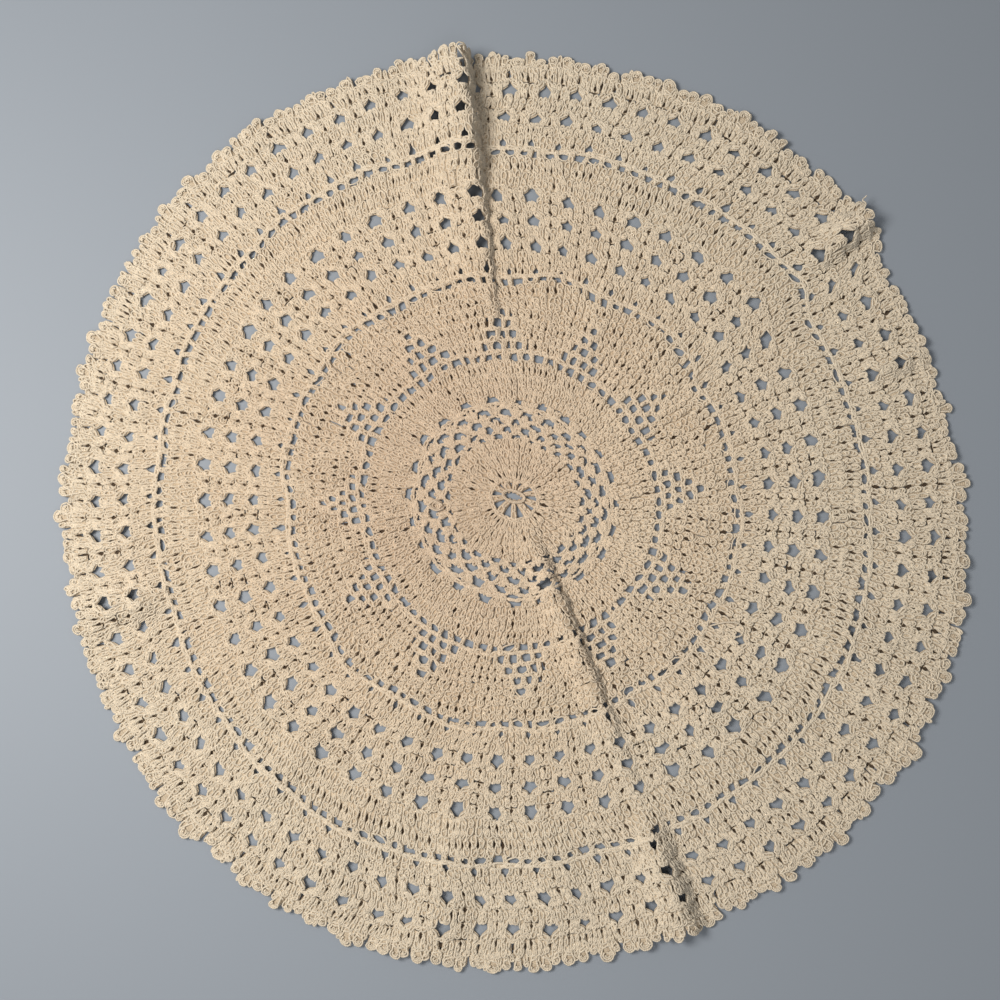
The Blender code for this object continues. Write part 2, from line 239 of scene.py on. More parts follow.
def petals(rb, pb, rt, pt, hb=1.15, ht=1.2, gl=0.0, gr=0.0, lift=0.0, edge_l=0.55, edge_r=0.55, tip=0.0, style="ridge", thick=1.0,
           at_l=0.36, at_r=0.36, slim=0.15, bend=0.0, ties=1.0, curl=0.3, inner=1.0, brow=0, waist=0.46):
    """Double crochets. The thread of each makes two round loops, the upper one rising from under the lower one, with a
    smaller loop or a slanting thread inside and slanting threads that tie it down. hb, ht half the room at base and
    top; gl, gr how far it draws in beside a pit on each side and at_l, at_r where; bend how far it turns aside (mm) only
    above the opening beside it; tip 1 where its top faces an opening."""
    global stitches
    rb, pb, rt, pt, hb, ht, gl, gr, lift, edge_l, edge_r, tip, thick, at_l, at_r, slim, bend, waist = columns(
        rb, pb, rt, pt, hb, ht, gl, gr, lift, edge_l, edge_r, tip, thick, at_l, at_r, slim, bend, waist)
    n = len(rb)
    stitches += n
    y = YARN * thick * rng.uniform(0.9, 1.12, (n, 1))
    tall = np.maximum(np.hypot((rb + rt) / 2 * (pt - pb), rt - rb), 1.5)
    lift = lift + rng.normal(0, 0.10, (n, 1))
    flip = rng.choice([-1, 1], (n, 1), p=[0.3, 0.7])
    room = lambda u: hb + (ht - hb) * np.clip(u, 0, 1) ** 0.8
    pinch_l, pinch_r = (lambda u: np.exp(-((u - at_l) / slim) ** 2)), (lambda u: np.exp(-((u - at_r) / slim) ** 2))
    side_l, side_r = (lambda u: room(u) - gl * pinch_l(u)), (lambda u: room(u) - gr * pinch_r(u))
    side = lambda u, v: np.maximum(np.where(v < 0, side_l(u), side_r(u)) - y * 1.0, 0.12) * v

    def place(u, v, pick=slice(None)):
        late = np.clip((u - 0.36) / 0.6, 0, 1)
        v = v + bend * (late * late * (3 - 2 * late) - np.clip(u, 0, 1))
        return local(rb[pick], pb[pick], rt[pick], pt[pick], (u + 0 * v)[pick], v[pick])

    # the body
    u = np.array([[-0.12, 0.11, 0.36, 0.74, 1.04]])
    rho, phi = place(u, np.zeros((n, 5)))
    high = np.array([[0.62, 0.74, 0.80, 0.86, 0.72]]) + lift * 0.8
    close = np.array([[1.16, 1.2, 1.15, 1.18, 1.05]]) - tip * np.array([[0, 0, 0, 0.08, 0.45]])
    ease = np.array([[0.12, 0.0, 0.0, 0.0, 0.1]])
    foot_l = edge_l + lift * 0.6 - np.clip(gl / 0.2, 0, 1) * pinch_l(u) * (edge_l - 0.1) - ease
    foot_r = edge_r + lift * 0.6 - np.clip(gr / 0.2, 0, 1) * pinch_r(u) * (edge_r - 0.1) - ease
    wide_l, wide_r = (np.maximum(side_l(u) * close - 0.2 * gl * pinch_l(u), 0.25), np.maximum(side_r(u) * close - 0.2 * gr * pinch_r(u), 0.25))
    sweep(rho, phi, high, wide_r, wide_l, "body", foot_r, foot_l)       # sweep's left is the side of growing angle
    # dark patches low in the pits beside it: painted shadow
    for g, at, out in ((gl, at_l, -1.0), (gr, at_r, 1.0)):
        some = (g[:, 0] > 0.2) & (g[:, 0] < 1.0) & ((out < 0) | (g[:, 0] > 0.7))
        if some.any():
            u = at + slim * np.array([[-1.7, 0.0, 1.7]])
            v = out * room(u) * np.array([[1.0, 1.0, 1.0]])
            rho, phi = place(u, v, some)
            sweep(rho, phi, 0.16 + 0 * rho, 0.62, 0.62, "under")
    # two loops, one over the other
    lean, skew = rng.normal(0, 0.22, (n, 1)), rng.normal(0, 0.20, (n, 1))
    waist = waist + rng.normal(0, 0.045, (n, 1))
    wind = np.where(rng.random((n, 1)) < 0.55, -1.0, 1.0)          # legs crossed or side by side
    s = np.array([[0.0, 0.48, 0.86, 1.05, 0.86, 0.48, 0.0]])
    k = np.array([[-0.5, -0.98, -0.74, 0.0, 0.74, 0.98, 0.5]])
    turn = np.array([[1.0, 0, 0, 0, 0, 0, 1.0]])
    k = k * (1 - turn + turn * wind) + rng.normal(0, 0.07, (n, 7))
    low = -0.08 + rng.normal(0, 0.03, (n, 1))
    u = low + (waist + 0.05 - low) * s + rng.normal(0, 0.016, (n, 7)) + (s > 0.6) * np.sign(k) * rng.normal(0, 0.03, (n, 1))
    v = side(u, k) * rng.uniform(0.86, 1.06, (n, 1)) + lean * np.clip(u, 0, 1) ** 2 + skew * (s - 0.5)
    w = np.array([[0.70, 1.12, 1.40, 1.50, 1.40, 1.14, 0.75]]) + lift + rng.normal(0, 0.06, (n, 7))
    rho, phi = place(u, v)
    sweep(rho, phi, w, y, y, style)
    wind = np.where(rng.random((n, 1)) < 0.6, -1.0, 1.0)
    s = np.array([[0.0, 0.36, 0.68, 0.92, 1.01, 0.92, 0.68, 0.36, 0.0]])
    k = np.array([[-0.6, -0.95, -0.97, -0.60, 0.0, 0.60, 0.97, 0.95, 0.6]])
    turn = np.array([[1.0, 0, 0, 0, 0, 0, 0, 0, 1.0]])
    k = k * (1 - turn + turn * wind * 0.7) + rng.normal(0, 0.06, (n, 9))
    low = waist - 0.10
    u = low + (0.99 - low) * s + rng.normal(0, 0.014, (n, 9)) + (s > 0.6) * np.sign(k) * rng.normal(0, 0.028, (n, 1))
    v = side(u, k) * rng.uniform(0.92, 1.05, (n, 1)) + lean * np.clip(u, 0, 1) ** 2 + skew * (0.5 - s)
    w = np.array([[0.70, 1.14, 1.36, 1.46, 1.50, 1.46, 1.36, 1.16, 0.75]]) + lift + rng.normal(0, 0.06, (n, 9))
    rho, phi = place(u, v)
    sweep(rho, phi, w, y, y, style)
    # a smaller loop inside the upper one, or a slanting thread
    some = rng.random(n) < inner * 0.3
    if some.any():
        top = 0.98 - 1.9 * y / tall
        s = np.array([[0.55, 0.84, 1.0, 1.0, 0.84, 0.55]])
        u = s * top + np.where(np.arange(6) < 3, -1, 1) * rng.normal(0, 0.03, (n, 1)) * (s > 0.7)
        k = np.array([[-0.8, -1.0, -0.45, 0.45, 1.0, 0.8]])
        v = np.maximum(room(u) - 2.9 * y, 0.2) * k + lean * u ** 2 - skew * 0.4 + rng.normal(0, 0.08, (n, 1)) * (2 * s - 1) + rng.normal(0, 0.05, (n, 6))
        w = np.array([[0.95, 1.38, 1.46, 1.46, 1.38, 0.95]]) + lift + rng.normal(0, 0.04, (n, 6))
        rho, phi = place(u, v)
        sweep(rho[some], phi[some], w[some], y[some] * 0.92, y[some] * 0.92, style)
    across = np.array([[-1.0, -0.4, 0.4, 1.0]])
    other = ~some & (rng.random(n) < 0.7)
    if other.any():
        slant = rng.uniform(0.4, 1.1, (n, 1)) * -flip / tall
        u = rng.normal(0.74, 0.05, (n, 1)) + slant * across + 0.30 / tall * np.array([[0, 1, 1, 0]])
        v = across * np.clip(np.where(across < 0, side_l(u), side_r(u)) - 0.4, 0.3, 0.9) + lean * 0.5 + rng.normal(0, 0.06, (n, 4))
        w = np.array([[0.7, 1.20, 1.24, 0.7]]) + lift + rng.normal(0, 0.05, (n, 4))
        rho, phi = place(u, v)
        sweep(rho[other], phi[other], w[other], y[other], y[other], style)
    # threads that tie it down: over its base, inside its lower loop and for some over its waist
    for where, chance, wide in ((0.03, 0.30, 0.05), (0.20, 0.6, 0.45), (0.5, 0.22, 0.1)):
        some = rng.random(n) < chance * ties
        if not some.any():
            continue
        slant = rng.uniform(0.2, 0.9, (n, 1)) * flip * (1 if where < 0.4 else -1) / tall
        u = rng.normal(where, 0.035, (n, 1)) + slant * across + rng.uniform(0.05, 0.4, (n, 1)) / tall * np.array([[0, 1, 1, 0]])
        v = across * np.clip(np.where(across < 0, side_l(u), side_r(u)) - wide, 0.25, 1.1) + rng.normal(0, 0.07, (n, 4))
        peak = 1.56 if wide < 0.2 else 1.20
        w = np.array([[0.75, peak - 0.03, peak, 0.75]]) + lift + rng.normal(0, 0.05, (n, 4))
        rho, phi = place(u, v)
        sweep(rho[some], phi[some], w[some], y[some], y[some], style)
    # a short thread between its shoulder and its neighbour's
    some = rng.random(n) < curl
    if some.any():
        u = np.array([[0.66, 0.9, 1.10]]) + rng.normal(0, 0.03, (n, 3))
        v = side_r(u) * np.array([[1.0, 0.96, 0.7]]) + rng.normal(0, 0.12, (n, 3))
        w = np.array([[0.9, 1.30, 1.15]]) + lift
        rho, phi = place(u, v)
        sweep(rho[some], phi[some], w[some], y[some], y[some], style)
    # the two thin arcs where its shoulder edges a large opening: brow -1 on the left, 1 on the right
    brow = np.broadcast_to(np.asarray(brow), (n,)) if np.ndim(brow) == 0 else np.asarray(brow).ravel()
    some = brow != 0
    if some.any():
        for out in (1.0, 0.0):
            b = brow[some][:, None]
            t = np.radians(np.array([[-25, 10, 50, 95, 135]]))
            rad = ht[some] * (0.62 + 0.36 * out)
            v = b * (ht[some] * 0.25 + rad * np.cos(t)) + rng.normal(0, 0.05, (len(b), 1))
            u = 1.0 + (rad * np.sin(t) - ht[some] * 0.72 + rng.normal(0, 0.08, (len(b), 1))) / tall[some]
            w = np.array([[0.9, 1.45, 1.56, 1.5, 1.0]]) + 0.1 * (1 - out)
            rho, phi = local(rb[some], pb[some], rt[some], pt[some], u, v)
            sweep(rho, phi, w + 0 * rho, 0.27, 0.27, style)


def links(r1, p1, r2, p2, half=0.36, high=1.4, back=0.55, style="ridge", thin=1.0, rough=0.06, foot=0.3, wrap=0.5):
    """Chain loops, each a teardrop of two strands from one place to the next, some with a thread across."""
    r1, p1, r2, p2, half, high, back = columns(r1, p1, r2, p2, half, high, back)
    n, y = len(r1), YARN * thin * rng.uniform(0.92, 1.12, (len(r1), 1))
    high = high + rng.normal(0, 0.09, (n, 1))
    half = half * rng.uniform(0.75, 1.3, (n, 1))
    u = np.array([[-0.12, 0.5, 1.12]])
    rho, phi = local(r1, p1, r2, p2, u, 0)
    some = back[:, 0] > 0
    if some.any():
        sweep(rho[some], phi[some], (high - 0.35)[some] + np.zeros((1, 3)), back[some], back[some], "body", foot, foot)
    for sign in (-1, 1):
        u = np.array([[-0.2, 0.16, 0.52, 0.84, 1.16]]) + rng.normal(0, 0.04, (n, 5))
        v = sign * half * np.array([[-0.5, 0.95, 1.2, 0.85, -0.3]]) + rng.normal(0, rough, (n, 5)) + rng.normal(0, rough, (n, 1))
        w = high + np.array([[-0.45, 0.02, 0.08, 0.0, -0.5]])
        rho, phi = local(r1, p1, r2, p2, u, v)
        sweep(rho, phi, w, y, y, style)
    some = rng.random(n) < wrap
    if some.any():
        u = rng.uniform(0.1, 0.9, (n, 1)) + rng.normal(0, 0.14, (n, 1)) * np.array([[-1.0, 0.0, 1.0]])
        v = (half + 0.35) * np.array([[-1.0, 0.0, 1.0]]) + rng.normal(0, 0.08, (n, 3))
        w = high + np.array([[-0.5, 0.18, -0.5]])
        rho, phi = local(r1, p1, r2, p2, u, v)
        sweep(rho[some], phi[some], w[some], y[some], y[some], style)


def chain(rho, phi, closed=False, **kw):
    """Links along a path of places, (path, place)."""
    rho, phi = np.atleast_2d(rho), np.atleast_2d(phi)
    if closed:
        rho, phi = np.concatenate([rho, rho[:, :1]], axis=1), np.concatenate([phi, phi[:, :1] + TAU], axis=1)
    links(rho[:, :-1], phi[:, :-1], rho[:, 1:], phi[:, 1:], **kw)


def strands(rho, phi, w, **kw):
    """Single loose strands along rows of places."""
    y = YARN * kw.get("thin", 1.0)
    sweep(np.atleast_2d(rho), np.atleast_2d(phi), np.atleast_2d(w), y, y, kw.get("style", "round"))


def eyelets(rho, phi, wide, tall, high=1.1, half=0.34, chance=0.85):
    """The thread that rounds off an opening: a loose ring of half-axes wide, tall (mm)."""
    rho, phi, wide, tall = columns(rho, phi, wide, tall)
    keep = rng.random(len(rho)) < chance
    rho, phi, wide, tall = rho[keep], phi[keep], wide[keep], tall[keep]
    n = len(rho)
    t = rng.uniform(0, TAU, (n, 1)) + np.linspace(0, TAU, 9)[None, :]
    grow = 1 + 0.13 * np.cos(2 * t + rng.uniform(0, TAU, (n, 1))) + 0.10 * np.cos(3 * t + rng.uniform(0, TAU, (n, 1)))
    turn = rng.normal(0, 0.22, (n, 1))
    a, b = wide * grow * np.cos(t), tall * grow * np.sin(t)
    a, b = a * np.cos(turn) - b * np.sin(turn), a * np.sin(turn) + b * np.cos(turn)
    y = half * rng.uniform(0.85, 1.2, (n, 1))
    sweep(rho + b, phi + a / rho, high + 0.15 * np.cos(t + 1.0) + rng.normal(0, 0.06, (n, 1)), y, y, "ridge")


def patches(rho, phi, half, tall, high=0.18):
    """A dark patch low down in a small pit: painted shadow."""
    rho, phi, half, tall = columns(rho, phi, half, tall)
    u = np.array([[-1.0, 0.0, 1.0]])
    sweep(rho + u * tall, phi + 0 * u, high + 0 * u + 0 * rho, half, half, "under")


def opening(n, chance, least, most):
    """How far neighbours stand off each other: most not at all, some enough for a slit."""
    return np.where(rng.random(n) < chance, rng.uniform(least, most, n), 0.0)


def dense_round(r0, r1, n, phase=0.0, chance=0.3, least=0.34, most=0.6, lean=0.0, skip=None, rough=1.0, **kw):
    """A round of n double crochets side by side."""
    k = np.arange(n)
    pt = TAU * (k + phase) / n
    pt = pt + rng.normal(0, 0.11, n) * rough / (r1(pt) if callable(r1) else r1)
    pb = pt - lean * TAU / n + rng.normal(0, 0.10, n) * rough / (r0(pt) if callable(r0) else r0)
    rb = r0(pb) if callable(r0) else np.full(n, float(r0))
    rt = r1(pt) if callable(r1) else np.full(n, float(r1))
    rb, rt = rb + rng.normal(0, 0.2, n), rt + rng.normal(0, 0.28, n) * rough
    gap = opening(n, chance, least, most)
    keep = np.ones(n, bool) if skip is None else ~skip(pt)
    petals(rb[keep], pb[keep], rt[keep], pt[keep], hb=(rb * math.pi / n)[keep], ht=(rt * math.pi / n)[keep],
           gl=gap[keep], gr=np.roll(gap, -1)[keep], **kw)
    return rt, pt


def mesh_line(r0, r1, n, phase, wide=1.0, miss=0.06):
    """Bars that stand apart, closed by a chain: a row of small openings, no two alike."""
    k = np.arange(n)
    p = TAU * (k + phase) / n
    at = lambda r, q: r(q) if callable(r) else np.full(len(q), float(r))
    p = p + rng.normal(0, 0.42, n) / at(r1, p)
    rb, rt = at(r0, p) - 0.55, at(r1, p) + 0.75
    wide = wide * rng.uniform(0.85, 1.3, n)
    lean = rng.normal(0, 0.45, n) / rt
    petals(rb, p - lean, rt, p + lean, hb=wide * 0.9, ht=wide * 1.02, edge_l=0.3, edge_r=0.3, curl=0, ties=0.7)
    some = rng.random(n) < miss          # a second bar crowds in and closes an opening
    q = p[some] + wide[some] * 1.9 / rt[some]
    petals(rb[some], q, rt[some], q, hb=0.9, ht=0.95, edge_l=0.3, edge_r=0.3, curl=0)
    turn = np.append(np.diff(p), p[0] + TAU - p[-1])
    free = (turn * rt - wide - np.roll(wide, -1)) / 2
    open_ = free > 0.35
    eyelets(((at(r0, p) + at(r1, p)) / 2 - 0.15)[open_], (p + (turn * rt + wide - np.roll(wide, -1)) / 2 / rt)[open_],
            free[open_] + 0.42, ((at(r1, p) - at(r0, p)) / 2 + 0.25)[open_], half=0.3, chance=0.45)
    m = int(n * 1.6)
    p = TAU * (np.arange(m) + rng.normal(0, 0.14, m)) / m
    rt = at(r1, p) + 0.62 + rng.normal(0, 0.24, m)
    chain(rt, p, closed=True, back=0.78, half=0.48, high=1.2, rough=0.26, thin=1.15, wrap=1.0)


# ---- the pattern, from the centre out ------------------------------------------------------------
def rosette():
    # the uneven centre loop, two turns of thread
    t = np.linspace(0, TAU, 17)[None, :]
    tilt = math.radians(-16)
    for grow, high in ((0.35, 1.3), (0.85, 1.55)):
        a, b = 3.7 + grow, 1.7 + grow
        x = a * np.cos(t) * math.cos(tilt) - b * np.sin(t) * math.sin(tilt) - 0.5
        y = a * np.cos(t) * math.sin(tilt) + b * np.sin(t) * math.cos(tilt) + 0.5
        strands(np.hypot(x, y), np.unwrap(np.arctan2(y, x)), high + 0.1 * np.sin(5 * t), thin=1.05)
    # spokes: each two or three strands, angle, how far out, half its width
    spokes = np.array(((184, 9.2, 0.95), (225, 8.8, 1.0), (270, 8.6, 0.8), (308, 9.0, 1.15), (339, 9.3, 0.95),
                       (10, 9.2, 0.75), (45, 8.6, 0.9), (85, 7.8, 0.9), (123, 8.6, 1.1), (152, 9.6, 0.9)))
    for angle, reach, wide in spokes:
        p = math.radians(angle)
        c, s = math.cos(p - tilt), math.sin(p - tilt)
        start = 1.0 / math.hypot(c / 4.5, s / 2.5)
        x0, y0 = start * math.cos(p) - 0.5, start * math.sin(p) + 0.5
        p0 = p + (math.atan2(y0, x0) - p + math.pi) % TAU - math.pi
        petals(math.hypot(x0, y0) - 0.4, p0, reach + 0.9, p, hb=wide * 0.85, ht=wide * 1.6, edge_l=0.3, edge_r=0.3, ties=0.5, curl=0)
    # the ring that closes the openings
    p = np.radians(np.concatenate([np.linspace(a, b, 4)[:-1] for a, b in ((152, 184), (184, 225), (225, 270), (270, 308), (308, 339), (339, 370), (370, 405), (405, 445), (445, 483), (483, 512))]))
    out = np.interp((np.degrees(p) % 360), (0, 45, 90, 123, 165, 200, 250, 300, 360), (9.3, 8.5, 7.2, 8.4, 9.7, 9.4, 8.8, 9.0, 9.3))
    chain(out + rng.normal(0, 0.12, len(p)), p, closed=True, back=0.8, half=0.4)
    return lambda q: np.interp(np.degrees(q) % 360, (0, 45, 90, 123, 165, 200, 250, 300, 360), (9.4, 8.6, 7.4, 8.6, 9.8, 9.5, 8.9, 9.1, 9.4))


ring = rosette()
dense_round(ring, 14.9, 36, chance=0.4, least=0.35, most=0.6, inner=1.8, ties=1.5)
dense_round(15.0, 20.4, 46, chance=0.22, most=0.5, inner=1.8, ties=1.5)
dense_round(20.5, 25.9, 62, chance=0.16, most=0.45, lean=0.1, inner=1.8, ties=1.5)

# five staggered rows of small domed shells, each joined to the next by an arched chain
MESH, MESH_FROM, MESH_ROW = 24, 26.6, 3.45
for row in range(5):
    r = MESH_FROM + MESH_ROW * row
    pitch = TAU / MESH
    mid = pitch * (np.arange(MESH) + 0.5 * (row % 2) + 0.38) + rng.normal(0, 0.014, MESH)
    m = 3 if row < 2 else 4
    x = np.linspace(-1, 1, m)
    side = (pitch * (r + 2.6) / 2 - (1.1, 1.2, 1.35, 1.5, 1.15)[row]) * rng.uniform(0.8, 1.04, (MESH, 1))     # half the shell's width at its top
    base = (1.35, 1.45, 1.55, 1.7, 1.85)[row]
    ht, hb = side / m * 1.08, base / m * 1.1
    pb = mid[:, None] + x * (base - base / m) / r
    pt = mid[:, None] + x * (side - side / m) / (r + 3.6) + rng.normal(0, 0.25, (MESH, 1)) / r
    rb = r - 1.5 + 0.4 * x ** 2 + 0 * pb
    rt = r + (3.0 if row == 4 else 2.4) - (0.1 if row == 4 else 1.2) * x ** 2 + 0 * pb + rng.normal(-0.1, 0.2 if row == 4 else 0.42, (MESH, 1)) + rng.normal(0, 0.15, (MESH, m))
    petals(rb, pb, rt, pt, hb=hb + 0 * pb, ht=ht + 0 * pb, edge_l=np.where(x < -0.9, 0.3, 0.6) + 0 * pb, edge_r=np.where(x > 0.9, 0.3, 0.6) + 0 * pb,
           tip=1.0, lift=0.05, ties=0.7, curl=0.2)
    nxt = np.roll(mid, -1).copy()
    nxt[-1] += TAU
    q = np.linspace(0, 1, 5)[None, :]
    rise = rng.normal(2.25, 0.4, (MESH, 1)) * (0.5 if row == 4 else 1)
    chain(r - (1.35 if row == 4 else 0.2) + rise * np.sin(q * math.pi) ** 0.8, mid[:, None] * (1 - q) + nxt[:, None] * q, back=0.52, half=0.36, high=1.25, rough=0.16, thin=1.1, wrap=0.8)
sag = lambda p: 43.35 - 0.15 * np.cos(MESH * (p - TAU * 0.38 / MESH))
dense_round(lambda p: sag(p) + 0.1, 48.5, 120, phase=0.2, chance=0.15, most=0.5)
dense_round(48.5, 53.4, 144, phase=0.1, chance=0.15, most=0.5, lean=0.15)
dense_round(53.4, 58.5, 144, phase=0.6, chance=0.55)
mesh_line(58.9, 61.7, 72, 0.35, wide=0.95)

# motif band: twelve triangular nets among double crochets
NET = math.radians(3.2)
wave = lambda p: np.cos(12 * p - math.radians(209.6))


def net_skip(level, cells, pitch=4.75):
    half = cells * pitch / 2 / level
    return lambda p: np.abs((p - NET + math.pi / 12) % (TAU / 12) - math.pi / 12) < half


levels = (62.5, 67.0, 71.4, 75.9, 80.5, 85.2, 90.5)
for j in range(6):
    cells = (4, 3, 2, 1, 0, 0)[j]
    lo, hi = levels[j] + 0.1, levels[j + 1]
    share = (0.0, 0.05, 0.1, 0.25, 0.5, 1.0)[j]
    n = (156, 160, 162, 164, 166, 170)[j]
    dense_round(lambda p: lo + 0.05 + (0.0, 0.0, 0.05, 0.1, 0.25, 0.5)[j] * wave(p), lambda p: hi + share * wave(p), n, phase=rng.uniform(0, 1),
                chance=(0.6, 0.6, 0.66, 0.6, 0.55, 0.6)[j], least=0.36, most=0.7, rough=1.3,
                skip=net_skip((lo + hi) / 2, cells + 0.32) if cells else None)
    if cells:
        # double crochets that stand apart, and the chain over them
        c = np.arange(cells + 1) - cells / 2
        mid = NET + TAU * np.arange(12)[:, None] / 12 + c[None, :] * 4.75 / (lo + 2) + rng.normal(0, 0.25, (12, cells + 1)) / lo
        top = mid + rng.normal(0, 0.35, mid.shape) / hi
        petals(np.full(mid.shape, lo - 0.1), mid, hi + 0.15 + rng.normal(0, 0.15, mid.shape), top,
               hb=rng.uniform(0.68, 1.0, mid.shape), ht=rng.uniform(0.85, 1.35, mid.shape), edge_l=0.3, edge_r=0.3, curl=0.4)
        eyelets(((lo + hi) / 2 - 0.25 + rng.normal(0, 0.15, (12, cells))), (mid[:, 1:] + mid[:, :-1] + top[:, 1:] + top[:, :-1]) / 4,
                rng.uniform(1.8, 2.2, (12, cells)), rng.uniform(2.1, 2.5, (12, cells)), half=0.3, chance=0.35)
        q = np.linspace(0, 1, 3)[None, None, :]
        a, b = top[:, :-1, None], top[:, 1:, None]
        rho = hi - 0.15 + rng.normal(0.5, 0.3, (12, cells, 1)) * np.sin(q * math.pi) + rng.normal(0, 0.12, (12, cells, 1))
        chain((rho + 0 * a).reshape(12 * cells, 3), (a * (1 - q) + b * q).reshape(12 * cells, 3), back=0.8, half=0.48, high=1.25, rough=0.2, thin=1.08)

mesh_line(lambda p: 91.0 + wave(p), lambda p: 93.6 + 0.8 * wave(p), 108, 0.3, wide=0.98)


def fans(n, gap_phase, base, top, bases, tops, base_add, top_add, hb, ht, slit=0.12, centre=(0.0, 0.0), gap=(0.0, 0.0), gap_at=0.42, seam=False, tips=None, brows=False, **kw):
    """n shells between gap columns. bases (mm) and tops (shares of a shell) are places across a shell; centre is the
    pit between the two middle stitches at their base, gap the one between a shell and the next."""
    pitch = TAU / n
    mid = gap_phase + pitch * (np.arange(n) + 0.5)
    bases, tops = np.asarray(bases, float), np.asarray(tops, float)
    m = len(tops)
    loose = rng.normal(0, 0.18, (n, 1))
    pb = mid[:, None] + (bases[None, :] + loose * 0.6 + rng.normal(0, 0.08, (n, m))) / base
    pt = mid[:, None] + tops[None, :] * pitch + (loose + rng.normal(0, 0.13, (n, m))) / top
    rb = base + np.asarray(base_add)[None, :] + 0 * pb + rng.normal(0, 0.15, (n, 1))
    rt = top + np.asarray(top_add)[None, :] + rng.normal(0, 0.18, (n, m))
    g, at = np.zeros((n, m + 1)), np.full((n, m + 1), 0.36) + rng.normal(0, 0.04, (n, m + 1))
    g[:, 1:-1] = opening((n, m - 1), slit, 0.35, 0.6)
    if centre[1]:
        g[:, m // 2], at[:, m // 2] = rng.uniform(*centre, n), 0.11
    if gap[1]:
        draw = rng.uniform(*gap, n)
        g[:, -1], g[:, 0] = draw, np.roll(draw, 1)
        at[:, 0] = at[:, -1] = gap_at
    hb, ht = (np.broadcast_to(v, (n, m)) for v in (hb, ht))
    tip = np.zeros((n, m)) + (0 if tips is None else np.asarray(tips))
    brow = np.zeros((n, m), int)
    if brows:
        brow[:, 0], brow[:, -1] = np.where(rng.random(n) < 0.8, -1, 0), np.where(rng.random(n) < 0.8, 1, 0)
    petals(rb, pb, rt, pt, hb=hb, ht=ht, gl=g[:, :-1], gr=g[:, 1:], at_l=at[:, :-1], at_r=at[:, 1:], tip=tip, brow=brow, **kw)
    if seam:
        a, b = pt[:, -1], np.append(pt[1:, 0], pt[0, 0] + TAU)
        t = np.array([[0.0, 0.5, 1.0]])
        q = a[:, None] + (b - a)[:, None] * t
        r = rt[:, -1][:, None] * (1 - t) + np.roll(rt[:, 0], -1)[:, None] * t
        chain(r + 0.25 + 0.3 * np.sin(t * math.pi), q, back=0.75, half=0.42, high=1.15, rough=0.14, wrap=0.9)
    return rt, pt


def dots(n, gap_phase, r, half=0.9, tall=1.0):
    mid = gap_phase + TAU / n * (np.arange(n) + 0.5)
    patches(np.full(n, float(r)), mid, half, tall)


def shell_row(n, phase_deg, level, step, before, lobes, flat=False):
    """One repeat: a round whose two lobes a shell rise beside the gaps, then fans that close over the gaps."""
    p = math.radians(phase_deg)
    unit = level * math.pi / n            # half a shell, mm
    k = unit / 6.6
    foot, head = level - step / 2, level + step / 2
    # lobed round, its stitches spreading from the pit below
    a, b, c = lobes
    fans(n, p, before + 0.1, foot, np.array([-5.55, -3.42, -1.15, 1.15, 3.42, 5.55]) * k, (-0.418, -0.250, -0.088, 0.088, 0.250, 0.418),
         (-0.1, 0.0, 0.1, 0.1, 0.0, -0.1), (a, b, c, c, b, a), hb=np.array([1.05, 1.1, 1.1, 1.1, 1.1, 1.05]) * k,
         ht=np.array([1.12, 1.2, 1.24, 1.24, 1.2, 1.12]) * k, slit=0.14, centre=(0.62, 0.98), gap=(0.3, 0.8), gap_at=0.34, slim=np.array([0.12, 0.12, 0.12, 0.12, 0.12, 0.12]), tips=(0.8, 1, 0.4, 0.4, 1, 0.8), brows=True)
    dots(n, p, foot + 0.7, 1.2, 1.5)
    # fans from the shell's middle
    ft = np.array([-0.425, -0.258, -0.088, 0.088, 0.258, 0.425]) if not flat else np.array([-0.36, -0.230, -0.08, 0.08, 0.230, 0.36])
    fb = np.array([-3.05, -2.1, -1.02, 1.02, 2.1, 3.05]) * k
    turn = (ft * 2 * unit - fb) * np.array([1.0, 0.7, 0.2, 0.2, 0.7, 1.0])
    rt, pt = fans(n, p, foot, head, fb, ft, (0.4, 0.3, 0.1, 0.1, 0.3, 0.4), (0.1, 0.1, -0.8, -0.8, 0.1, 0.1),
                  hb=np.array([0.6, 0.66, 0.98, 0.98, 0.66, 0.6]) * k, ht=np.array([1.25, 1.16, 1.22, 1.22, 1.16, 1.25]) * k, slit=0.12, centre=(0.62, 0.95), slim=0.14, bend=turn, seam=True, lift=0.08)
    dots(n, p, head + 0.7, 1.2, 1.5)
    return head


# first round of 54 shells on the wavy line
k = 97.3 * math.pi / 54 / 6.6
fans(54, math.radians(1.76), 94.1, 100.1, np.array([-4.5, -1.7, 1.7, 4.5]) * k, (-0.38, -0.128, 0.128, 0.38), (0.0,) * 4, (0.0, 0.2, 0.2, 0.0),
     hb=np.array([1.35, 1.5, 1.5, 1.35]) * k, ht=1.66 * k, slit=0.3, gap=(1.02, 1.25), gap_at=0.36)
before = 100.2
dots(54, math.radians(1.76), before + 0.7, 1.2, 1.5)
for level, lobes in ((107.8, (-0.7, 1.3, -0.8)), (118.35, (-0.9, 1.4, -0.8)), (128.36, (-0.9, 1.6, -0.8))):
    before = shell_row(54, 1.76, level, 5.2, before, lobes, flat=level > 120)

dense_round(131.2, 137.8, 308, phase=0.3, chance=0.35)
dense_round(137.9, 144.7, 308, phase=0.8, chance=0.72, least=0.38, most=0.62)
mesh_line(145.1, 147.7, 154, (math.radians(2.90) / TAU * 154) % 1, wide=1.08)

